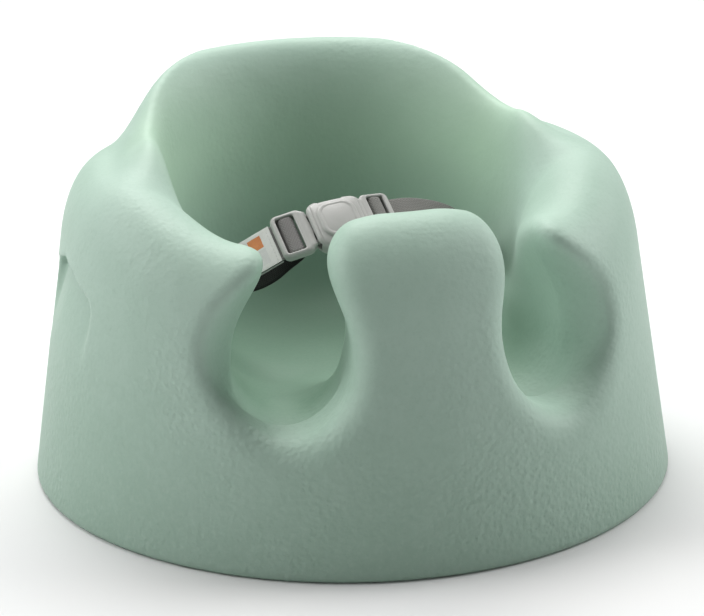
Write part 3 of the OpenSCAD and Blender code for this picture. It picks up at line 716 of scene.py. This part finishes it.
def belt_place(path, twist_to=None):
    """Points of the belt; near the wall the webbing is twisted about its own line to lie flat in its slot."""
    d = np.r_[0, np.cumsum(np.linalg.norm(np.diff(path[:, :2], axis=0), axis=1))]
    mid = np.array([belt_world(placed(q[0], 0.0, q[1], q[2])) for q in path])
    wid = np.array([belt_world(placed(q[0], 1.0, q[1], q[2])) for q in path]) - mid
    tan = np.gradient(mid, axis=0)

    def f(i, c, w):
        p = np.array(belt_world(placed(c[0], w, c[1], path[i, 2])))
        if twist_to is None or d[i] >= twist_to:
            return p
        k = float(ss(0.0, twist_to, d[i]))
        across = wid[i] * k + np.array([0.0, 1.0, 0.0]) * (1 - k)
        across /= np.linalg.norm(across)
        off = p - mid[i] - w * wid[i]
        up = np.cross(tan[i], across)
        up /= np.linalg.norm(up) * (1.0 if np.dot(up, off) > 0 else -1.0)
        return mid[i] + across * w + up * np.linalg.norm(off)
    return f


def web_piece(name, path, mat, twist_to=None, s0=0.0, flip=False, step=1.0):
    P, _ = resample(path, step)
    P = smooth_path(P, 1)
    V, F, A, s = ribbon(P, s0, place=belt_place(P, twist_to), flip=flip)
    ob = mesh_object(name, V * MM, check_out(V, F), mat, {"strip": A}, sharp=50)
    return ob, P, s


left_all = np.vstack([left_run, left_end])
d = np.r_[0, np.cumsum(np.linalg.norm(np.diff(left_all[:, :2], axis=0), axis=1))]
CUT = 22.0
cut_at = np.array([np.interp(CUT, d, left_all[:, k]) for k in range(3)])
root_path = np.vstack([left_all[d < CUT - 0.05], cut_at])
main_path = np.vstack([cut_at, left_all[d > CUT + 0.05]])


# the left strap: its first 22 mm turn with the belt, the rest follows the plug
left_root, P0, s0 = web_piece("strap_left_root", root_path, MAT_BLACK, twist_to=CUT, flip=True)
left_main, P1, s1 = web_piece("strap_left_run", main_path, MAT_BLACK, s0=CUT, flip=True)
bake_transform(left_root)
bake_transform(left_main)
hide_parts("strap_left")

right_all = np.vstack([right_run, right_end])
right_web, P2, s2 = web_piece("strap_right_run", right_all, MAT_TAUPE, twist_to=26.0)
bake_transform(right_web)
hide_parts("strap_right")


# sewn loops in the wall
def loop_path():
    r = BAR_R + 0.1 + WEB_T / 2
    P = [[0.0, -0.78], [8, -0.76], [16, -0.8], [BAR_U - 5.2, -1.4]]
    P += [[BAR_U + r * math.cos(math.radians(a)), r * math.sin(math.radians(a))] for a in range(-130, 131, 13)]
    P += [[BAR_U - 5.2, 1.4], [16, 0.8], [8, 0.76], [0.0, 0.76]]
    return np.array(P)


for side_name, M, mat, sl in (("right", ANCHOR_R, MAT_TAUPE, "webbing_grey"), ("left", MIRROR @ ANCHOR_R, MAT_BLACK, "webbing_black")):
    P, _ = resample(loop_path(), 1.2)
    V, F, A, s = ribbon(P, 0.0, place=lambda i, c, w: (c[0], w, c[1]))
    V = put(M, V)
    ob = mesh_object("web_loop_" + side_name, V * MM, check_out(V, F), mat, {"strip": A}, sharp=50)
    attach(ob, "seat")
    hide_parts("web_stub_" + side_name)


# ------------------------------------------------------------------ label
def label_mesh():
    """A thin sheet folded over the tail's end, in the tail's frame: u along the tail from its start, w up."""
    t, gap, l = 0.45, WEB_T / 2 + 0.16, 23.9
    c = []
    for u in np.linspace(0, 1, 22):
        c.append((l * (1 - u), gap + t / 2 + 0.10 * math.sin(7 * u) * (1 - u) * u * 4))
    for a in np.linspace(0, math.pi, 13)[1:-1]:
        c.append((-math.sin(a) * (gap + t / 2) * 0.62, (gap + t / 2) * math.cos(a)))
    for u in np.linspace(0, 1, 22):
        c.append((l * u, -gap - t / 2 - 0.08 * math.sin(6 * u) * (1 - u) * u * 4))
    return np.array(c), t


lab_c, lab_t = label_mesh()
LAB_W = 25.8
TAIL_END = TAIL_A + 24.2 * TAIL_DIR


def tail_place(i, c, w):
    # c[0] runs back from the tail's end towards the buckle
    p = TAIL_END - TAIL_DIR * c[0] + np.array([-TAIL_DIR[1], TAIL_DIR[0], 0.0]) * (-c[1])
    return belt_world(placed(p[0], w, p[1], 1.0))


def label_strip():
    n = len(lab_c)
    d = np.gradient(lab_c, axis=0)
    d /= np.linalg.norm(d, axis=1)[:, None]
    nor = np.stack([-d[:, 1], d[:, 0]], 1)
    s = np.r_[0, np.cumsum(np.linalg.norm(np.diff(lab_c, axis=0), axis=1))]
    vs = np.linspace(-1, 1, 27)
    V, A = [], []
    sec = [(v, 1) for v in vs] + [(v, -1) for v in vs[::-1]]
    for i in range(n):
        for v, sg in sec:
            e = 1.0 if abs(v) < 0.999 else 0.45
            wav = 0.10 * math.sin(3.1 * v + 0.35 * s[i])
            c = lab_c[i] + nor[i] * (sg * e * lab_t / 2) + nor[i] * wav * (-1 if lab_c[i][1] > 0 else 1) * 0.5
            V.append(tail_place(i, c, v * LAB_W / 2))
            A.append((s[i], v * LAB_W / 2, 0.0))
    m = len(sec)
    F = [(i * m + j, i * m + (j + 1) % m, (i + 1) * m + (j + 1) % m, (i + 1) * m + j) for i in range(n - 1) for j in range(m)]
    half = m // 2
    for base, order in ((0, 1), ((n - 1) * m, -1)):
        for j in range(half - 1):
            q = (base + j, base + j + 1, base + m - 2 - j, base + m - 1 - j)
            F.append(q if order < 0 else q[::-1])
    return np.array(V), F, np.array(A), s[-1]


V, F, A, lab_len = label_strip()
label = mesh_object("strap_label", V * MM, check_out(V, F), MAT_LABEL, {"strip": A}, sharp=50)
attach(label, "plug_half")
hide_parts("tail_label")


# ------------------------------------------------------------------ stitches
def stitches(name, starts, ends, ups, mat, body, radius=0.32):
    """Small thread stitches, each a bowed tube from start to end that bulges along up. Points in mm, row frame."""
    V, F = [], []
    for a, b, up in zip(starts, ends, ups):
        a, b, up = np.array(a, float), np.array(b, float), np.array(up, float)
        ax = b - a
        L = np.linalg.norm(ax)
        ax /= L
        sidev = np.cross(ax, up)
        sidev /= np.linalg.norm(sidev)
        base = len(V)
        k, m = 7, 8
        for i in range(k):
            t = i / (k - 1)
            bow = math.sin(math.pi * t)
            r = radius * (0.35 + 0.65 * bow ** 0.5)
            c = a + ax * L * t + up * (radius * 0.9 * bow - radius * 0.35)
            for j in range(m):
                q = 2 * math.pi * j / m + 0.6 * t
                V.append(c + r * (math.cos(q) * sidev + math.sin(q) * up))
        for i in range(k - 1):
            for j in range(m):
                F.append((base + i * m + j, base + i * m + (j + 1) % m, base + (i + 1) * m + (j + 1) % m, base + (i + 1) * m + j))
        F.append(tuple(base + j for j in range(m))[::-1])
        F.append(tuple(base + (k - 1) * m + j for j in range(m)))
    V = np.array(V)
    ob = mesh_object(name, V * MM, check_out(V, F), mat)
    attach(ob, body)
    return ob


def row_on_tail(u0, w_from, w_to, top=True, pitch=2.5, run=1.7, along=False, u1=None):
    a, b, up = [], [], []
    off = (WEB_T / 2 + 0.16 + 0.45 + 0.02) * (1 if top else -1)
    sg = 1 if top else -1
    upv = np.array(tail_place(0, np.array([5.0, sg * 1.0]), 0)) - np.array(tail_place(0, np.array([5.0, 0.0]), 0))
    upv /= np.linalg.norm(upv)
    if along:
        for u in np.arange(u0, u1 - run, pitch):
            a.append(tail_place(0, np.array([u, off]), w_from))
            b.append(tail_place(0, np.array([u + run, off]), w_from))
            up.append(upv)
    else:
        for w in np.arange(w_from, w_to - run, pitch):
            a.append(tail_place(0, np.array([u0, off]), w))
            b.append(tail_place(0, np.array([u0, off]), w + run))
            up.append(upv)
    return a, b, up


SA, SB, SU = [], [], []
for u0 in (1.6, 21.8):
    for top in (True, False):
        a, b, up = row_on_tail(u0, -11.6, 11.8, top)
        SA += a; SB += b; SU += up
lab_st = stitches("label_stitches", SA, SB, SU, MAT_THREAD_W, "plug_half", 0.24)

for side_name, M, mat, sl in (("right", ANCHOR_R, MAT_THREAD_W, "webbing_grey"), ("left", MIRROR @ ANCHOR_R, MAT_THREAD_B, "webbing_black")):
    SA, SB, SU = [], [], []
    for u0 in (1.4, 3.6):
        for w in np.arange(-11.0, 10.0, 2.5):
            for sg in (1, -1):
                z = sg * (WEB_T + 0.05)
                SA.append(put(M, (u0, w, z))); SB.append(put(M, (u0, w + 1.7, z)))
                SU.append(put(M, (0, 0, sg)) - put(M, (0, 0, 0)))
    ob = stitches("loop_stitches_" + side_name, SA, SB, SU, mat, "seat", 0.26)

# ------------------------------------------------------------------ stage
fl = bpy.data.meshes.new("floor")
R, N = 6.0, 64
fl.from_pydata([(0, 0, -0.0004)] + [(R * math.cos(2 * math.pi * i / N), R * math.sin(2 * math.pi * i / N), -0.0004) for i in range(N)], [], [(0, 1 + i, 1 + (i + 1) % N) for i in range(N)])
floor = bpy.data.objects.new("floor", fl)
bpy.context.scene.collection.objects.link(floor)
nf = Nodes("pale_floor")
nf.set(Base_Color=nf.mix(nf.span(nf.noise(3.0, 2.0, 0.5), 0.4, 0.6), (0.78, 0.785, 0.79, 1.0), (0.80, 0.80, 0.80, 1.0)), Roughness=nf.span(nf.noise(20.0, 2.0, 0.5), 0.3, 0.7, 0.75, 0.85))
nf.set(Specular_IOR_Level=0.2)
floor.data.materials.append(nf.mat)

world = bpy.data.worlds.new("studio")
bpy.context.scene.world = world
world.use_nodes = True
bg = world.node_tree.nodes["Background"]
bg.inputs["Color"].default_value = (1.0, 1.0, 1.0, 1.0)
bg.inputs["Strength"].default_value = 0.22


def area(name, loc, target, size, power, colour=(1, 1, 1)):
    li = bpy.data.lights.new(name, "AREA")
    li.shape = "DISK"
    li.size = size
    li.energy = power
    li.color = colour
    ob = bpy.data.objects.new(name, li)
    bpy.context.scene.collection.objects.link(ob)
    ob.location = loc
    ob.rotation_euler = (Vector(target) - Vector(loc)).to_track_quat("-Z", "Y").to_euler()
    return ob


area("top", (0.0, 1.1, 2.0), (0, 0, 0.1), 1.8, 48.0, (1.0, 0.995, 0.98))
area("left", (-2.0, 0.5, 1.4), (0, 0, 0.1), 1.5, 28.0)
area("right", (2.0, 0.0, 1.4), (0, 0, 0.1), 1.5, 31.0)

cam = bpy.data.cameras.new("camera")
cam.sensor_width = 36.0
cam.sensor_fit = "HORIZONTAL"
cam.lens = 120.989
cam.clip_end = 50
co = bpy.data.objects.new("camera", cam)
bpy.context.scene.collection.objects.link(co)
co.location = (-0.36593, -1.28514, 0.53048)
co.rotation_euler = (math.radians(71.8266), math.radians(0.7465), math.radians(-16.1734))
bpy.context.scene.camera = co
bpy.context.scene.view_settings.view_transform = "Standard"
bpy.context.scene.view_settings.look = "None"
